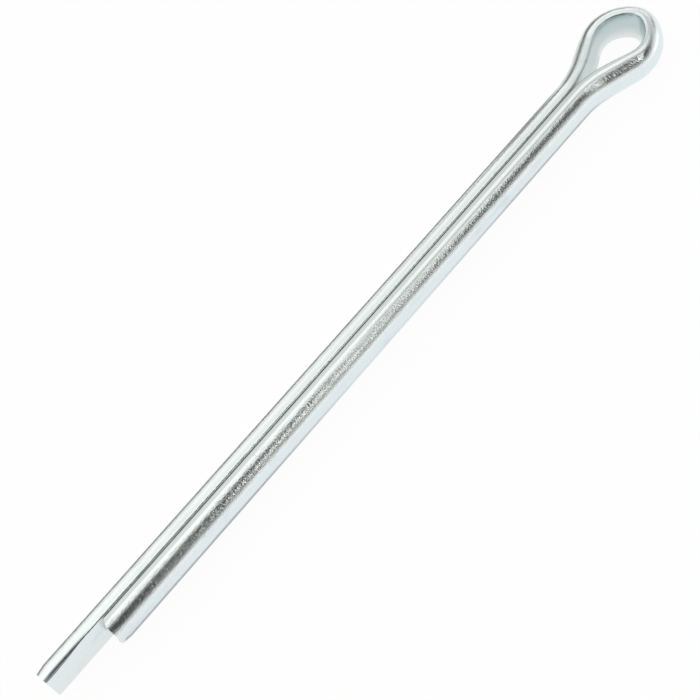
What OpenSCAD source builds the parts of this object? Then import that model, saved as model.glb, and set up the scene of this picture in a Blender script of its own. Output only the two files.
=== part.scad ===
// Split pin (cotter pin): half-round wire folded flat to flat, with a teardrop eye and one leg longer.
// The shank lies along X with the eye towards +X, and Z is the axis of the eye. The origin is on the
// shank's axis, where the two legs begin to part. All sizes are in millimetres.

/* [Shank] */
// Diameter across the two legs where they lie together
shank_d = 5.8; // [4.5:0.1:7]
// Gap between the flat sides of the legs
leg_gap = 0.3; // [0.05:0.05:0.6]
// Length of the long leg, from the neck to its tip
long_leg = 104.5; // [60:0.5:140]
// Length of the short leg, from the neck to its tip
short_leg = 95; // [50:0.5:130]

/* [Wire] */
// Rounding along both edges of the flat side
corner_r = 0.4; // [0.2:0.05:0.8]
// Length of the shallow taper that the shears leave at each tip
tip_taper = 1.4; // [0.4:0.1:3]
// Loss of radius over that taper
tip_relief = 0.2; // [0.05:0.05:0.5]

/* [Eye] */
// Distance from the neck to the centre of the eye's far end
end_x = 14.1; // [13:0.05:16]
// Inner radius of the far end
end_r = 1.4; // [1:0.1:2]
// Half the angle that the far end turns through
end_angle = 30.48; // [20:0.01:40]
// Inner radius of the two flanks
flank_r = 4.35; // [4:0.05:4.6]
// Angle at which the long leg's side of the eye leaves the shank
long_side_angle = 21.12; // [20:0.01:23]
// Angle at which the short leg's side of the eye leaves the shank
short_side_angle = 18.36; // [17:0.01:21]
// Shift of the whole eye towards the long leg
eye_shift = 0.1; // [-0.2:0.05:0.3]

/* [Hidden] */
$fn = 96;
shank_r = shank_d / 2;
half_gap = leg_gap / 2;
// Height of the centre of each rounded corner above or below the middle of the wire
corner_z = sqrt(pow(shank_r - corner_r, 2) - pow(half_gap + corner_r, 2));
// Point where the rounded corner runs into the round back
back_x = shank_r * (half_gap + corner_r) / (shank_r - corner_r) - half_gap;
back_z = shank_r * corner_z / (shank_r - corner_r);

// The wire is followed from the far end of the eye down to the tip of each leg. Each stretch starts
// at the origin and runs along +X, with the flat side of the wire on the plane y = 0 and its round
// back towards -Y, and it carries the next stretch at its end. The short leg's side is laid out like
// the long one's and then mirrored, so that its shift is the other way.

// Point where the straight side of the eye runs into the flank, from the start of the leg's flat side
function flank_start(angle, shift) = [
    end_x + (end_r - flank_r) * cos(end_angle) - flank_r * sin(angle),
    shift + (end_r - flank_r) * sin(end_angle) + flank_r * cos(angle) - half_gap
];

// Radius of the bend at the neck which takes the leg through that angle and on to that point
function neck_radius(angle, shift) =
    let (p = flank_start(angle, shift))
    (p[0] * sin(angle) - p[1] * cos(angle)) / (1 - cos(angle));

// Length of the straight side between the neck's bend and the flank's bend
function side_length(angle, shift) =
    let (p = flank_start(angle, shift))
    (p[0] - neck_radius(angle, shift) * sin(angle)) / cos(angle);

// Section of the wire, with its flat side on x = 0 and its round back towards +X
module wire_section() {
    far = 2 * shank_r;
    intersection() {
        translate([-half_gap, 0]) circle(r = shank_r);
        polygon([
            [0, -corner_z], [0, corner_z], [back_x, back_z], [back_x, far],
            [far, far], [far, -far], [back_x, -far], [back_x, -back_z]
        ]);
    }
    for (z = [-corner_z, corner_z])
        translate([corner_r, z]) circle(r = corner_r);
}

// Straight stretch of wire
module straight(length) {
    rotate([90, 0, 90]) linear_extrude(height = length) mirror([1, 0]) wire_section();
    translate([length, 0, 0]) children();
}

// Bend to the left, with the flat side of the wire on the inside
module bend_to_flat(r, angle) {
    sector(r, angle) rotate_extrude() translate([r, 0]) wire_section();
    bend_end(r, angle) children();
}

// Bend to the right, with the round back of the wire on the inside
module bend_to_back(r, angle) {
    sector(-r, angle) rotate_extrude() translate([r, 0]) mirror([1, 0]) wire_section();
    bend_end(-r, angle) children();
}

// Places its children at the end of a bend, which turns left where r is positive and right where it is negative
module bend_end(r, angle) {
    translate([0, r, 0]) rotate([0, 0, sign(r) * angle]) translate([0, -r, 0]) children();
}

// Keeps the part of a whole ring that lies between the start and the end of its bend
module sector(r, angle) {
    reach = 2 * (abs(r) + shank_r);
    difference() {
        translate([0, r, 0]) children();
        translate([-reach, -reach, -shank_d]) cube([reach, 2 * reach, 2 * shank_d]);
        bend_end(r, angle) translate([0, -reach, -shank_d]) cube([reach, 2 * reach, 2 * shank_d]);
    }
}

// Leg with a square end, whose back tapers slightly at the tip
module leg(length) {
    difference() {
        straight(length);
        translate([length, half_gap, 0]) rotate([0, 90, 0]) rotate_extrude() polygon([
            [shank_r - 2 * tip_relief, tip_taper],
            [shank_r + tip_relief, -2 * tip_taper],
            [shank_r + tip_relief, tip_taper]
        ]);
    }
}

// One side of the pin, from the middle of the eye's far end to the tip of its leg
module side_of_pin(angle, shift, leg_length) {
    translate([end_x + end_r, shift, 0]) rotate([0, 0, 90])
        bend_to_flat(end_r, end_angle)
        bend_to_flat(flank_r, 90 + angle - end_angle)
        straight(side_length(angle, shift))
        bend_to_back(neck_radius(angle, shift), angle)
        leg(leg_length);
}

// The whole pin, one piece of bright zinc-plated steel wire
module split_pin() {
    color("gainsboro") {
        side_of_pin(long_side_angle, eye_shift, long_leg);
        mirror([0, 1, 0]) side_of_pin(short_side_angle, -eye_shift, short_leg);
    }
}

split_pin();
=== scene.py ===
# Split pin in bright zinc-plated steel wire, lying on a white table.
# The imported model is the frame, and the wire is drawn again over it with its finish.
import math

import bpy
from mathutils import Matrix, Vector


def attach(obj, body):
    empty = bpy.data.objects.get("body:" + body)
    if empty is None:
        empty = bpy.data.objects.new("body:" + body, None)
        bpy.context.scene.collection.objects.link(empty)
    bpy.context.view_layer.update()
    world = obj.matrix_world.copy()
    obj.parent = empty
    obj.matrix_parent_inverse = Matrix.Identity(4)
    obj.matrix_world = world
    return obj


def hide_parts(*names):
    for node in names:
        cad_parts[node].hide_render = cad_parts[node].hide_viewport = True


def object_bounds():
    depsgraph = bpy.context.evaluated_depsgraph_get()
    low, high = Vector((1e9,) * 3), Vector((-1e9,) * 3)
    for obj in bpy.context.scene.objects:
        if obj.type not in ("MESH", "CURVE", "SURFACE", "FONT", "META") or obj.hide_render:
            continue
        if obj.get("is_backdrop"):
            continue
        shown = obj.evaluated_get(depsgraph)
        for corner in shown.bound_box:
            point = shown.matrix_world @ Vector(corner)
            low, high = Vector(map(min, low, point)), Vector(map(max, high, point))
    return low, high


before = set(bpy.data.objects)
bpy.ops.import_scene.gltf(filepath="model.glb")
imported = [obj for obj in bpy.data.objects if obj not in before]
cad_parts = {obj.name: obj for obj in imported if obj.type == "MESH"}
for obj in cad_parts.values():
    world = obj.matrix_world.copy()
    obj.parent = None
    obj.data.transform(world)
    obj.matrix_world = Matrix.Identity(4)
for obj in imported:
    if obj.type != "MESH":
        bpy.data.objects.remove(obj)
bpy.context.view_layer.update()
print("frame loaded")

mm = 0.001


class Val:
    # one output of a node; sums on it add Math nodes
    def __init__(self, nodes, socket):
        self.nodes = nodes
        self.socket = socket

    def maths(self, operation, *others):
        return self.nodes.add("ShaderNodeMath", {"operation": operation}, [self, *others])

    def __add__(self, other):
        return self.maths("ADD", other)

    def __radd__(self, other):
        return self.maths("ADD", other)

    def __sub__(self, other):
        return self.maths("SUBTRACT", other)

    def __rsub__(self, other):
        return self.nodes.add("ShaderNodeMath", {"operation": "SUBTRACT"}, [other, self])

    def __mul__(self, other):
        return self.maths("MULTIPLY", other)

    def __rmul__(self, other):
        return self.maths("MULTIPLY", other)

    def __truediv__(self, other):
        return self.maths("DIVIDE", other)

    def __rtruediv__(self, other):
        return self.nodes.add("ShaderNodeMath", {"operation": "DIVIDE"}, [other, self])

    def __pow__(self, other):
        return self.maths("POWER", other)

    def __lt__(self, other):
        return self.maths("LESS_THAN", other)

    def __gt__(self, other):
        return self.maths("GREATER_THAN", other)

    def sqrt(self):
        return self.maths("SQRT")

    def abs(self):
        return self.maths("ABSOLUTE")

    def sign(self):
        return self.maths("SIGN")

    def low(self, other):
        return self.maths("MINIMUM", other)

    def high(self, other):
        return self.maths("MAXIMUM", other)


class Nodes:
    def __init__(self, tree):
        self.tree = tree

    # adds a node: its type, its settings, then the values or links of its sockets
    def add(self, kind, settings=None, sockets=None, out=0):
        node = self.tree.nodes.new(kind)
        for name, value in (settings or {}).items():
            setattr(node, name, value)
        pairs = sockets.items() if isinstance(sockets, dict) else enumerate(sockets or [])
        for key, value in pairs:
            socket = node.inputs[key]
            if isinstance(value, Val):
                self.tree.links.new(value.socket, socket)
            elif value is not None:
                socket.default_value = value
        return Val(self, node.outputs[out]) if node.outputs else None

    # another output of the node that a value comes from
    def also(self, value, out):
        return Val(self, value.socket.node.outputs[out])

    def vector(self, operation, *values, out=0):
        return self.add("ShaderNodeVectorMath", {"operation": operation}, list(values), out)

    # eases from 0 to 1 between two places, which may run either way
    def smooth(self, value, start, end):
        return self.add("ShaderNodeMapRange", {"interpolation_type": "SMOOTHSTEP"}, [value, start, end])

    # eases up over the first two places and down over the last two
    def stretch(self, value, places):
        start, full, fade, end = places
        return self.smooth(value, start, full) * self.smooth(value, end, fade)

    # one colour laid over another by a share
    def blend(self, share, first, second):
        first = first if isinstance(first, Val) else (*first, 1)
        return self.add("ShaderNodeMix", {"data_type": "RGBA"},
                        {"Factor": share, "A": first, "B": (*second, 1)}, "Result")

    def xyz(self, x, y, z):
        return self.add("ShaderNodeCombineXYZ", None, [x, y, z])

    # the three parts of a vector
    def split(self, value):
        x = self.add("ShaderNodeSeparateXYZ", None, [value])
        return x, self.also(x, 1), self.also(x, 2)


wire = {
    "shankDiameter": 5.8,
    "legGap": 0.06,
    "longLeg": 104.5,
    "shortLeg": 95.0,
    "cornerRadius": 0.35,
    "tipTaper": 1.4,
    "tipRelief": 0.2,
    "tipRounding": 0.14,
    "endX": 14.1,
    "endRadius": 1.4,
    "endAngle": 30.48,
    "flankRadius": 4.35,
    "longSideAngle": 21.12,
    "shortSideAngle": 18.36,
    "eyeShift": 0.1,
    "eyeCrown": 0.2,          # how far the flat side's edges fall back in the eye
    "eyeReach": 11.0,         # and how far along the wire from the middle of its far end
    "tipCrown": 0.02,         # the same at the tips
    "tipReach": 3.5,
    "endBevel": 0.6,          # how far the short leg's end is cut back at its flat side
    "bevelDepth": 1.1,
    # the wire's twist in degrees along its length, top edge away from the front
    "twist": ((0, 5), (103, 5), (108, 10), (114, 10), (119, 0), (126, 0), (134, 5), (240, 5)),
    # rings close to a tip, so that its edge can be rounded
    "tipRings": (0, 0.006, 0.02, 0.042, 0.07, 0.104, 0.14, 0.2, 0.35, 0.6, 0.9, 1.2, 1.5),
    "legStep": 0.5,           # ring spacing along the legs
    "sideStep": 0.4,          # and along the straight sides of the eye
    "neckStep": 1.5,          # degrees between rings where the legs part
    "bendStep": 2.5,          # and round the eye
    "sectionPoints": 73,      # points round the back and the corners
    "flatPoints": 9,
}


# points of the flat side's middle line, from the long leg's tip round the eye to the short leg's
def wirePath(w):
    halfGap = w["legGap"] / 2
    endAngle = math.radians(w["endAngle"])
    reach = w["endRadius"] - w["flankRadius"]
    points = []               # x, y and the heading there, in millimetres and radians

    def put(x, y, heading):
        points.append((x, y, heading))

    def arc(cx, cy, radius, start, end, step):
        count = max(2, math.ceil(abs(math.degrees(end - start)) / step))
        for i in range(1, count + 1):
            h = start + (end - start) * i / count
            put(cx - radius * math.sin(h), cy + radius * math.cos(h), h)

    def line(x0, y0, x1, y1, heading, step):
        count = max(1, math.ceil(math.hypot(x1 - x0, y1 - y0) / step))
        for i in range(1, count + 1):
            put(x0 + (x1 - x0) * i / count, y0 + (y1 - y0) * i / count, heading)

    # one side of the eye: its angle, its flank's centre, where the flank starts, the neck's radius
    def side(angle, shift):
        a = math.radians(angle)
        fx = w["endX"] + reach * math.cos(endAngle)
        fy = shift + reach * math.sin(endAngle)
        sx = fx - w["flankRadius"] * math.sin(a)
        sy = fy + w["flankRadius"] * math.cos(a) - halfGap
        neck = (sx * math.sin(a) - sy * math.cos(a)) / (1 - math.cos(a))
        return a, fx, fy, sx, sy + halfGap, neck

    tip, neckStep, sideStep, bendStep = w["tipRings"], w["neckStep"], w["sideStep"], w["bendStep"]
    quarter = math.pi / 2
    a, fx, fy, sx, sy, neck = side(w["longSideAngle"], w["eyeShift"])
    for t in tip:
        put(-w["longLeg"] + t, halfGap, 0.0)
    line(-w["longLeg"] + tip[-1], halfGap, 0, halfGap, 0.0, w["legStep"])
    arc(0, halfGap + neck, -neck, 0, a, neckStep)
    line(neck * math.sin(a), halfGap + neck * (1 - math.cos(a)), sx, sy, a, sideStep)
    arc(fx, fy, w["flankRadius"], a, endAngle - quarter, bendStep)
    arc(w["endX"], w["eyeShift"], w["endRadius"], endAngle - quarter, -endAngle - quarter, bendStep)
    a, fx, fy, sx, sy, neck = side(w["shortSideAngle"], -w["eyeShift"])
    arc(fx, -fy, w["flankRadius"], -endAngle - quarter, -math.pi - a, bendStep)
    line(sx, -sy, neck * math.sin(a), -halfGap - neck * (1 - math.cos(a)), -math.pi - a, sideStep)
    arc(0, -halfGap - neck, -neck, -math.pi - a, -math.pi, neckStep)
    line(0, -halfGap, -w["shortLeg"] + tip[-1], -halfGap, -math.pi, w["legStep"])
    for t in reversed(tip[:-1]):
        put(-w["shortLeg"] + t, -halfGap, -math.pi)
    return points


# a tree that sweeps the wire's section along the path, with its sizes as named inputs
def wireTree(w):
    tree = bpy.data.node_groups.new("wireAlongPath", "GeometryNodeTree")
    n = Nodes(tree)
    face = tree.interface
    face.new_socket("Geometry", in_out="INPUT", socket_type="NodeSocketGeometry")
    sizes = {
        "Shank radius": w["shankDiameter"] / 2 * mm,
        "Half gap": w["legGap"] / 2 * mm,
        "Corner radius": w["cornerRadius"] * mm,
        "Tip taper": w["tipTaper"] * mm,
        "Tip relief": w["tipRelief"] * mm,
        "Tip rounding": w["tipRounding"] * mm,
        "Eye crown": w["eyeCrown"] * mm,
        "Eye reach": w["eyeReach"] * mm,
        "Tip crown": w["tipCrown"] * mm,
        "Tip reach": w["tipReach"] * mm,
        "End bevel": w["endBevel"] * mm,
        "Bevel depth": w["bevelDepth"] * mm,
    }
    for name in sizes:
        face.new_socket(name, in_out="INPUT", socket_type="NodeSocketFloat")
    face.new_socket("Material", in_out="INPUT", socket_type="NodeSocketMaterial")
    face.new_socket("Geometry", in_out="OUTPUT", socket_type="NodeSocketGeometry")
    start = n.add("NodeGroupInput")
    values = [n.also(start, name) for name in sizes]
    radius, gap, corner, taper, relief, rounding, eyeCrown, eyeReach, tipCrown, tipReach = values[:10]
    bevel, bevelDepth = values[10:]

    def store(geometry, name, value, kind):
        return n.add("GeometryNodeStoreNamedAttribute", {"data_type": kind, "domain": "POINT"},
                     {"Geometry": geometry, "Name": name, "Value": value})

    def stored(name, kind):
        return n.add("GeometryNodeInputNamedAttribute", {"data_type": kind}, {"Name": name})

    # the section: a round back and two rounded corners by the angle of their normal, then the flat
    turns, flats = w["sectionPoints"], w["flatPoints"]
    ring = n.add("GeometryNodeCurvePrimitiveCircle", {"mode": "RADIUS"}, {"Resolution": turns + flats})
    index = n.add("GeometryNodeInputIndex")
    angle = (index / (turns - 1)).low(1) * (2 * math.pi) - math.pi
    cornerHeight = ((radius - corner) ** 2 - (gap + corner) ** 2).sqrt()
    backEnd = ((gap + corner) / (radius - corner)).maths("ARCCOSINE")
    onBack = angle.abs() < backEnd
    onFlat = index > turns - 0.5
    normalX = angle.maths("COSINE")
    normalY = angle.maths("SINE")
    bend = corner + (radius - corner) * onBack
    alongFlat = 1 - (index - (turns - 1)) / (flats + 1) * 2
    x = (corner - (corner + gap) * onBack + bend * normalX) * (1 - onFlat)
    height = cornerHeight * angle.sign() * (1 - onBack) + bend * normalY
    y = height * (1 - onFlat) + cornerHeight * alongFlat * onFlat
    ring = n.add("GeometryNodeSetPosition", None, {"Geometry": ring, "Position": n.xyz(x, y, 0.0)})
    outward = n.xyz(normalX * (1 - onFlat) - onFlat, normalY * (1 - onFlat), 0.0)
    ring = store(ring, "sectionPoint", n.add("GeometryNodeInputPosition"), "FLOAT_VECTOR")
    ring = store(ring, "sectionNormal", outward, "FLOAT_VECTOR")

    # the path, with the way along it and the distance to the nearer tip
    path = n.add("GeometryNodeMeshToCurve", None, [n.also(start, "Geometry")])
    path = store(path, "pathPoint", n.add("GeometryNodeInputPosition"), "FLOAT_VECTOR")
    way = n.add("GeometryNodeSplineParameter", None, None, "Length")
    whole = n.add("GeometryNodeSplineLength")
    path = store(path, "alongWire", way, "FLOAT")
    path = store(path, "toTip", way.low(whole - way), "FLOAT")
    swept = n.add("GeometryNodeCurveToMesh", None,
                  {"Curve": path, "Profile Curve": ring, "Fill Caps": True})

    toTip = stored("toTip", "FLOAT")
    point = stored("sectionPoint", "FLOAT_VECTOR")
    normal = stored("sectionNormal", "FLOAT_VECTOR")
    # the edge of each end is rounded
    left = (rounding - toTip).high(0)
    inset = rounding - (rounding * rounding - left * left).sqrt()
    inset = n.vector("SCALE", normal, None, None, inset)
    point = n.vector("SUBTRACT", point, inset)
    # the shears leave the back of each tip a little lower
    toAxis = n.xyz(gap, 0.0, 0.0)
    fromAxis = n.vector("ADD", point, toAxis)
    far = n.vector("LENGTH", fromAxis, out="Value")
    limit = radius - relief * (1 - toTip / taper).high(0)
    fromAxis = n.vector("SCALE", fromAxis, None, None, (limit / far).low(1))
    point = n.vector("SUBTRACT", fromAxis, toAxis)
    # the edges of the flat side fall back where the wire is bent hard and where it is cut
    sx, py, _ = n.split(point)
    middle = stored("fromMiddle", "FLOAT").abs()
    crown = n.smooth(middle, eyeReach, eyeReach * 0.6) * eyeCrown
    crown = crown + n.smooth(toTip, tipReach, 0.0) * tipCrown
    edge = (py.abs() / radius) ** 3
    px = sx + crown * edge * (1 - sx / (radius - gap)).high(0)
    # the section turns about the shank's axis
    turn = stored("twist", "FLOAT")
    c, d = turn.maths("COSINE"), turn.maths("SINE")
    tx = (px + gap) * c + py * d - gap
    tz = py * c - (px + gap) * d
    side = stored("side", "FLOAT_VECTOR")
    across = n.vector("SCALE", side, None, None, tx)
    place = n.vector("ADD", stored("pathPoint", "FLOAT_VECTOR"), across)
    # the short leg's end is cut back towards its flat side
    onShort = n.split(side)[1] < -0.5
    cut = bevel * (1 - px / bevelDepth).high(0).low(1) * n.smooth(toTip, bevel * 2.5, 0.0) * onShort
    place = n.vector("ADD", place, n.xyz(cut, 0.0, tz))
    shaped = n.add("GeometryNodeSetPosition", None, {"Geometry": swept, "Position": place})

    # where each point lies in the straightened wire, for the finish to follow
    flow = n.xyz(stored("alongWire", "FLOAT"), px, py)
    shaped = store(shaped, "wireFlow", flow, "FLOAT_VECTOR")
    # the two cut ends are the only faces with more than four corners, and they stay flat
    corners = n.add("GeometryNodeInputMeshFaceNeighbors", None, None, "Vertex Count")
    shaped = n.add("GeometryNodeSetShadeSmooth", {"domain": "FACE"},
                   {"Geometry": shaped, "Shade Smooth": corners < 5})
    shaped = n.add("GeometryNodeRealizeInstances", None, [shaped])
    shaped = n.add("GeometryNodeSetMaterial", None,
                   {"Geometry": shaped, "Material": n.also(start, "Material")})
    n.add("NodeGroupOutput", None, {"Geometry": shaped})
    return tree, sizes


# the value at a place, eased between the pairs of a table
def between(table, place):
    for (a, low), (b, high) in zip(table, table[1:]):
        if place <= b:
            t = (place - a) / (b - a)
            return low + (high - low) * t * t * (3 - 2 * t)
    return table[-1][1]


def makeWire(w, material):
    rows = wirePath(w)
    points = [(x * mm, y * mm, 0.0) for x, y, h in rows]
    mesh = bpy.data.meshes.new("splitPinPath")
    mesh.from_pydata(points, [(i, i + 1) for i in range(len(points) - 1)], [])
    mesh.attributes.new("side", "FLOAT_VECTOR", "POINT")
    mesh.attributes.new("fromMiddle", "FLOAT", "POINT")
    mesh.attributes.new("twist", "FLOAT", "POINT")
    # fetched only now, because a new attribute moves the ones before it
    side, fromMiddle, twist = (mesh.attributes[name] for name in ("side", "fromMiddle", "twist"))
    run = [0.0]
    for p, q in zip(points, points[1:]):
        run.append(run[-1] + math.dist(p, q))
    middle = min(range(len(rows)), key=lambda i: abs(rows[i][2] + math.pi / 2))
    for i, (x, y, h) in enumerate(rows):
        side.data[i].vector = (-math.sin(h), math.cos(h), 0.0)
        fromMiddle.data[i].value = run[i] - run[middle]
        turn = math.radians(between(w["twist"], run[i] / mm))
        twist.data[i].value = turn if i < middle else -turn
    host = bpy.data.objects.new("splitPinPath", mesh)
    bpy.context.scene.collection.objects.link(host)
    tree, sizes = wireTree(w)
    modifier = host.modifiers.new("Wire", "NODES")
    modifier.node_group = tree
    inputs = [item for item in tree.interface.items_tree if item.in_out == "INPUT"]
    names = {item.name: item.identifier for item in inputs}
    for name, value in sizes.items():
        modifier[names[name]] = value
    modifier[names["Material"]] = material
    graph = bpy.context.evaluated_depsgraph_get()
    shape = bpy.data.meshes.new_from_object(
        host.evaluated_get(graph), preserve_all_data_layers=True, depsgraph=graph)
    bpy.data.objects.remove(host)     # and its modifier with it
    for name in ("side", "fromMiddle", "twist", "sectionPoint", "sectionNormal", "pathPoint",
                 "alongWire", "toTip"):
        if name in shape.attributes:
            shape.attributes.remove(shape.attributes[name])
    shape.name = "splitPinWire"
    piece = bpy.data.objects.new("splitPinWire", shape)
    bpy.context.scene.collection.objects.link(piece)
    return piece


# Places are in millimetres of the straightened wire: along it from the long leg's tip, in depth from
# its flat side and in height. Four of them are where a patch starts, is full, begins to fade and ends.
zinc = {
    "colour": (0.785, 0.83, 0.82),
    "dullColour": (0.70, 0.74, 0.73),
    "seamShadeAndLineColour": (0.56, 0.60, 0.59),
    "wallShadeColour": (0.56, 0.645, 0.65),
    "limbShadeColour": (0.60, 0.66, 0.645),
    "bandShadeColour": (0.47, 0.515, 0.505),
    "edgeLineColour": (0.17, 0.18, 0.18),
    "edgeLineShare": 0.9,
    "roughness": 0.06,
    "dullRoughness": 0.24,
    # noises: how much of it runs along the wire, size in millimetres, detail, roughness
    "grain": (0.8, 0.2, 2.0, 0.6),
    "lumps": (0.6, 0.9, 2.0, 0.5),
    "lines": (0.05, 0.2, 2.0, 0.6),
    "patches": (0.35, 1.8, 4.0, 0.6),
    "limbPatches": (0.5, 0.8, 3.0, 0.6),
    "patchEdge": (0.5, 0.72),
    "grainHeight": 0.024,
    "lumpHeight": 0.02,
    "lineHeight": 0.011,
    "limbShadeAlong": (104.5, 106.5, 113.5, 115.0),     # a dull, mottled stretch of the long limb, darkened with painted shade
    "bandShadeAlong": (104.0, 107.0, 116.0, 119.0),     # and a darker band of painted shade along the middle of it
    "bandShadeDepth": (1.05, 1.4, 1.8, 2.15),
    "seamShadeDepth": 0.7,                                # how deep from the flat side painted shade reaches on the short leg along the seam
    "seamShadeEdge": 0.08,
    "seamShadeStart": (122.0, 127.0),
    "markDepth": 1.18,                             # a thin darker line beside it
    "markWidth": (0.06, 0.17),
    "markShare": 0.9,
    "markAlong": (124.0, 128.0, 178.0, 192.0),
    "longShadeDepth": (0.4, 1.1),                    # the painted shade along the seam is only faint on the long leg
    "longShadeAlong": (7.0, 11.0, 104.0, 108.0),
    "longShadeShare": 0.13,
    "wornAlong": (165.0, 178.0, 192.0, 208.0),     # the middle of the short leg is less bright
    "wornShare": 0.35,
    "edgeLineEnd": 8.0,                                # the dark edge of the long leg's bare flat
    "edgeLineHeight": 2.74,
    "edgeLineDepth": (0.25, 0.5),
    "wallShadeAlong": (107.0, 111.0, 132.0, 136.0),     # painted shade on the dull wall inside the eye, darker towards its top
    "wallShadeDepth": (0.3, 0.5),
    "wallShadeHeight": (-2.6, 0.6),
}


def zincPlate(z):
    material = bpy.data.materials.new("brightZincPlate")
    material.use_nodes = True
    material.node_tree.nodes.clear()
    n = Nodes(material.node_tree)
    flow = n.add("ShaderNodeAttribute", {"attribute_type": "GEOMETRY", "attribute_name": "wireFlow"},
                 None, "Vector")
    flow = n.vector("SCALE", flow, None, None, 1 / mm)
    along, depth, height = n.split(flow)

    def noise(name):
        stretch, size, detail, roughness = z[name]
        return n.add("ShaderNodeTexNoise", None, {
            "Vector": n.vector("MULTIPLY", flow, (stretch, 1, 1)), "Scale": 1 / size,
            "Detail": detail, "Roughness": roughness})

    # 1 up to the first place, fading to 0 at the second
    def within(value, places):
        return n.smooth(value, places[1], places[0])

    grain, lumps, lines = noise("grain"), noise("lumps"), noise("lines")
    dull = n.smooth(noise("patches"), *z["patchEdge"])
    upper = height > 0

    # painted shade on the eye's long limb, standing for the dark surroundings that its top reflects.
    # The stretch is also rougher
    limb = n.stretch(along, z["limbShadeAlong"]) * (0.55 + n.smooth(noise("limbPatches"), 0.3, 0.7) * 0.45)
    band = n.stretch(depth, z["bandShadeDepth"]) * n.stretch(along, z["bandShadeAlong"])
    band = band * upper * (0.65 + lumps * 0.4)

    # painted shade along the seam where the legs meet: full on the short leg, faint on the long one,
    # with a thin darker line beside it. The same mask also raises the roughness
    seamShadeSpan = (z["seamShadeDepth"] - z["seamShadeEdge"], z["seamShadeDepth"] + z["seamShadeEdge"])
    seamShade = within(depth, seamShadeSpan) * n.smooth(along, *z["seamShadeStart"])
    mark = within((depth - z["markDepth"]).abs(), z["markWidth"]) * n.stretch(along, z["markAlong"])
    longShade = within(depth, z["longShadeDepth"]) * n.stretch(along, z["longShadeAlong"])
    seamShade = seamShade.high(mark * z["markShare"]) + longShade * z["longShadeShare"]
    seamShade = seamShade * upper * (0.7 + lines * 0.6)

    # a dark line laid along the top edge of the long leg's bare flat, near its tip
    edgeLineFrom = z["edgeLineHeight"] - n.smooth(along, z["edgeLineEnd"], 0.5) * (0.3 + lumps * 0.4)
    edgeLine = n.smooth(height, edgeLineFrom, edgeLineFrom + 0.1) * within(depth, z["edgeLineDepth"])
    edgeLine = edgeLine * within(along, (z["edgeLineEnd"] - 3, z["edgeLineEnd"] + 1))
    # painted shade on the wall inside the eye, darker towards its top where the table it reflects lies
    # in the eye's shadow. The same mask makes the wall rougher
    wall = within(depth, z["wallShadeDepth"]) * n.stretch(along, z["wallShadeAlong"])
    wall = wall * n.smooth(height, *z["wallShadeHeight"]) * (0.8 + lumps * 0.4)
    worn = n.stretch(along, z["wornAlong"]) * z["wornShare"]

    relief = grain * z["grainHeight"] + lumps * z["lumpHeight"] + lines * z["lineHeight"]
    bump = n.add("ShaderNodeBump", None, {"Strength": 1.0, "Distance": mm, "Height": relief})
    colour = n.blend(dull * 0.6 + grain * 0.3, z["colour"], z["dullColour"])
    colour = n.blend(limb, colour, z["limbShadeColour"])
    colour = n.blend(band, colour, z["bandShadeColour"])
    colour = n.blend(seamShade, colour, z["seamShadeAndLineColour"])
    colour = n.blend(wall, colour, z["wallShadeColour"])
    colour = n.blend(edgeLine * z["edgeLineShare"], colour, z["edgeLineColour"])
    rough = (dull * 0.6).high(worn).high(limb).high(seamShade).high(wall)
    roughness = z["roughness"] + (z["dullRoughness"] - z["roughness"]) * rough
    shader = n.add("ShaderNodeBsdfPrincipled", None, {
        "Base Color": colour, "Metallic": 1.0, "Roughness": roughness, "Normal": bump})
    n.add("ShaderNodeOutputMaterial", None, {"Surface": shader})
    return material


plate = zincPlate(zinc)
pin = makeWire(wire, plate)
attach(pin, "root")
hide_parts("split_pin")
print("wire made:", len(pin.data.vertices), "points")


studio = {
    "floorSize": 1.2,
    "floorColour": (0.94, 0.94, 0.94),
    "seenWhite": 0.95,
    "mirroredWhite": 0.88,
    # where the table is darker in the pin's reflections, in metres: close behind it, further off
    # behind the eye, and beneath the short leg, whose shade is lighter in the middle
    "shadeBehind": 0.85,
    "behindX": (0.0, 0.006),
    "behindY": (0.0055, 0.0085, 0.012, 0.018),
    "farX": (-0.008, 0.002),
    "farY": (0.015, 0.022, 0.1, 0.4),
    "shadeBeneath": 0.5,
    "beneathX": (-0.0950, -0.0943, 0.0, 0.007),
    "beneathY": (-0.0048, -0.0041),
    "beneathBack": 0.003,
    "lighterFrom": (-0.072, -0.045, 0.8),
    "darkerFrom": (-0.042, -0.008, 0.65),
    "coolFront": (0.99, 1.03, 1.07),      # the table's tint in front of the pin
    "coolY": (0.0, -0.003),
    "tent": 1.25,                         # the tent's light, and the least a flag leaves of it
    "darkest": 0.09,
    "warm": (1.0, 0.93, 0.78),
    "warmShare": 0.6,
}


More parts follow.
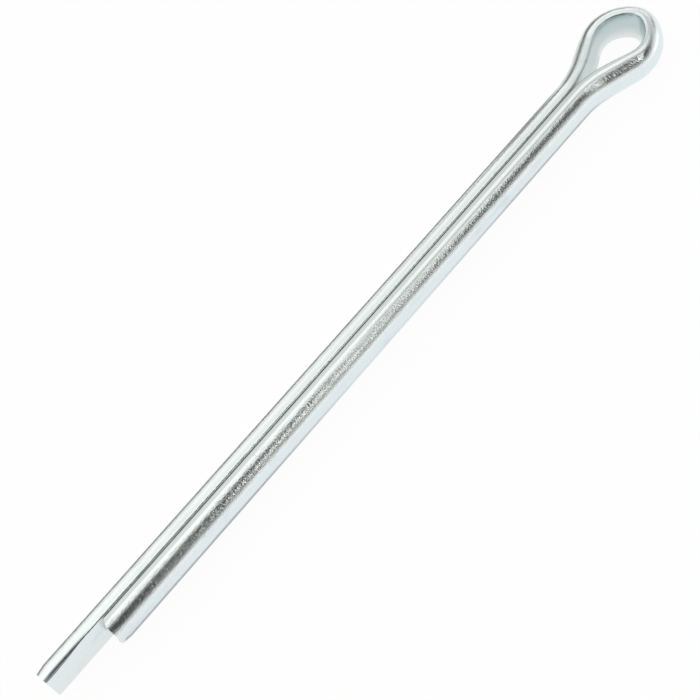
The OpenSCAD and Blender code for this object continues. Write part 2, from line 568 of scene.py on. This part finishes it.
# a table that is plain white to the camera and carries the pin's shadow and reflections
def whiteTable(s, height):
    mesh = bpy.data.meshes.new("table")
    h = s["floorSize"] / 2
    corners = [(-h, -h, height), (h, -h, height), (h, h, height), (-h, h, height)]
    mesh.from_pydata(corners, [], [(0, 1, 2, 3)])
    floor = bpy.data.objects.new("table", mesh)
    bpy.context.scene.collection.objects.link(floor)
    material = bpy.data.materials.new("whiteTable")
    material.use_nodes = True
    material.node_tree.nodes.clear()
    n = Nodes(material.node_tree)
    ray = n.add("ShaderNodeLightPath", None, None, "Is Camera Ray")
    glossy = n.also(ray, "Is Glossy Ray").high(n.also(ray, "Is Transmission Ray"))
    x, y, _ = n.split(n.add("ShaderNodeTexCoord", None, None, "Object"))
    behind = n.stretch(y, s["behindY"]) * n.smooth(x, s["behindX"][1], s["behindX"][0])
    behind = behind.high(n.stretch(y, s["farY"]) * n.smooth(x, *s["farX"]))
    beneath = n.smooth(y, *s["beneathY"]) * (y < s["beneathBack"]) * n.stretch(x, s["beneathX"])
    lighter, darker = (n.smooth(x, a, b) * share for a, b, share in (s["lighterFrom"], s["darkerFrom"]))
    beneath = beneath * (1 - lighter + darker)
    lit = 1 - behind * s["shadeBehind"] - beneath * s["shadeBeneath"]
    share = ray * s["seenWhite"] + glossy * s["mirroredWhite"]
    plain = n.add("ShaderNodeBsdfDiffuse", None, {"Color": (*s["floorColour"], 1)})
    cool = n.blend(glossy * n.smooth(y, *s["coolY"]), (1, 1, 1), s["coolFront"])
    white = n.add("ShaderNodeEmission", None, {"Color": cool, "Strength": 1 - glossy * (1 - lit)})
    both = n.add("ShaderNodeMixShader", None, [share, plain, white])
    n.add("ShaderNodeOutputMaterial", None, {"Surface": both})
    mesh.materials.append(material)
    floor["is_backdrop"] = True


# lamps and flags in the tent: azimuth from the front (-Y) towards +X, elevation, half width,
# half height and turn in degrees, then how much each adds to the tent's light or takes from it
lampsAndFlags = {
    "front flag": (-37, 29, 27, 35, 5, -0.85),
    "long flag": (10, 48, 44, 11, -15, -0.86),
    "upper flag": (18, 61, 7, 10, -18, -0.85),
    "side of the upper flag": (52, 65, 7, 4.5, 17, -0.4),
    "lower flag": (16.5, 31.5, 36, 18.5, -2, -1.05),
    "right flag": (86, 9, 16, 8, -35, -0.8),
    "high right flag": (92, 38, 28, 20, 0, -0.38),
    "back flag": (140, 38, 32, 26, 0, -0.26),
    "low back flag": (157, -3, 11, 6, 0, -0.75),
    "low card": (56, -1, 20, 6, 0, 0.6),
    "strip lamp": (27, 46, 14, 3.4, 50, 1.25),
    "small warm lamp": (16.7, 35.5, 2.8, 10.5, -4, 1.3),
}


def lightTent(s):
    world = bpy.data.worlds.new("lightTent")
    bpy.context.scene.world = world
    world.use_nodes = True
    world.node_tree.nodes.clear()
    n = Nodes(world.node_tree)
    x, y, z = n.split(n.add("ShaderNodeTexCoord", None, None, "Generated"))
    azimuth = x.maths("ARCTAN2", y * -1) * (180 / math.pi)
    elevation = z.maths("ARCSINE") * (180 / math.pi)
    level = s["tent"]
    lamps = warm = 0.0
    for name, (a, e, wide, high, turn, strength) in lampsAndFlags.items():
        turn = math.radians(turn)
        c, d = math.cos(turn), math.sin(turn)
        across = (azimuth - a) * math.cos(math.radians(e))
        above = elevation - e
        u = (across * c + above * d) / wide
        v = (above * c - across * d) / high
        far = u * u + v * v
        if strength < 0:
            level = (far * -1).maths("EXPONENT") * strength + level
        else:
            spot = (far * far * -1).maths("EXPONENT")
            lamps = spot * strength + lamps
        if name == "small warm lamp":
            warm = spot
    level = level.high(s["darkest"])
    warm = warm / (level + lamps)
    level = level + lamps
    ray = n.add("ShaderNodeLightPath", None, None, "Is Camera Ray")
    level = level * (1 - ray) + ray
    tint = n.blend(warm * (1 - ray) * s["warmShare"], (1, 1, 1), s["warm"])
    back = n.add("ShaderNodeBackground", None, {"Color": tint, "Strength": level})
    n.add("ShaderNodeOutputWorld", None, {"Surface": back})


view = {
    "lens": 79.807,
    "sensorWidth": 36.0,
    "place": (-102.223412, -72.361466, 181.575227),      # millimetres
    "right": (0.63863, -0.761105, -0.113446),
    "up": (0.721386, 0.540828, 0.432559),
    "nearest": 0.01,
    "furthest": 10.0,
}


def addCamera(v):
    data = bpy.data.cameras.new("camera")
    data.lens = v["lens"]
    data.sensor_width = v["sensorWidth"]
    data.clip_start = v["nearest"]
    data.clip_end = v["furthest"]
    camera = bpy.data.objects.new("camera", data)
    bpy.context.scene.collection.objects.link(camera)
    right, up = Vector(v["right"]), Vector(v["up"])
    axes = (right, up, right.cross(up), Vector(v["place"]) * mm)
    camera.matrix_world = Matrix([[axis[i] for axis in axes] for i in range(3)] + [[0, 0, 0, 1]])
    bpy.context.scene.camera = camera


whiteTable(studio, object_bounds()[0].z)
lightTent(studio)
addCamera(view)
bpy.context.scene.view_settings.view_transform = "Standard"
print("table, light and camera made")
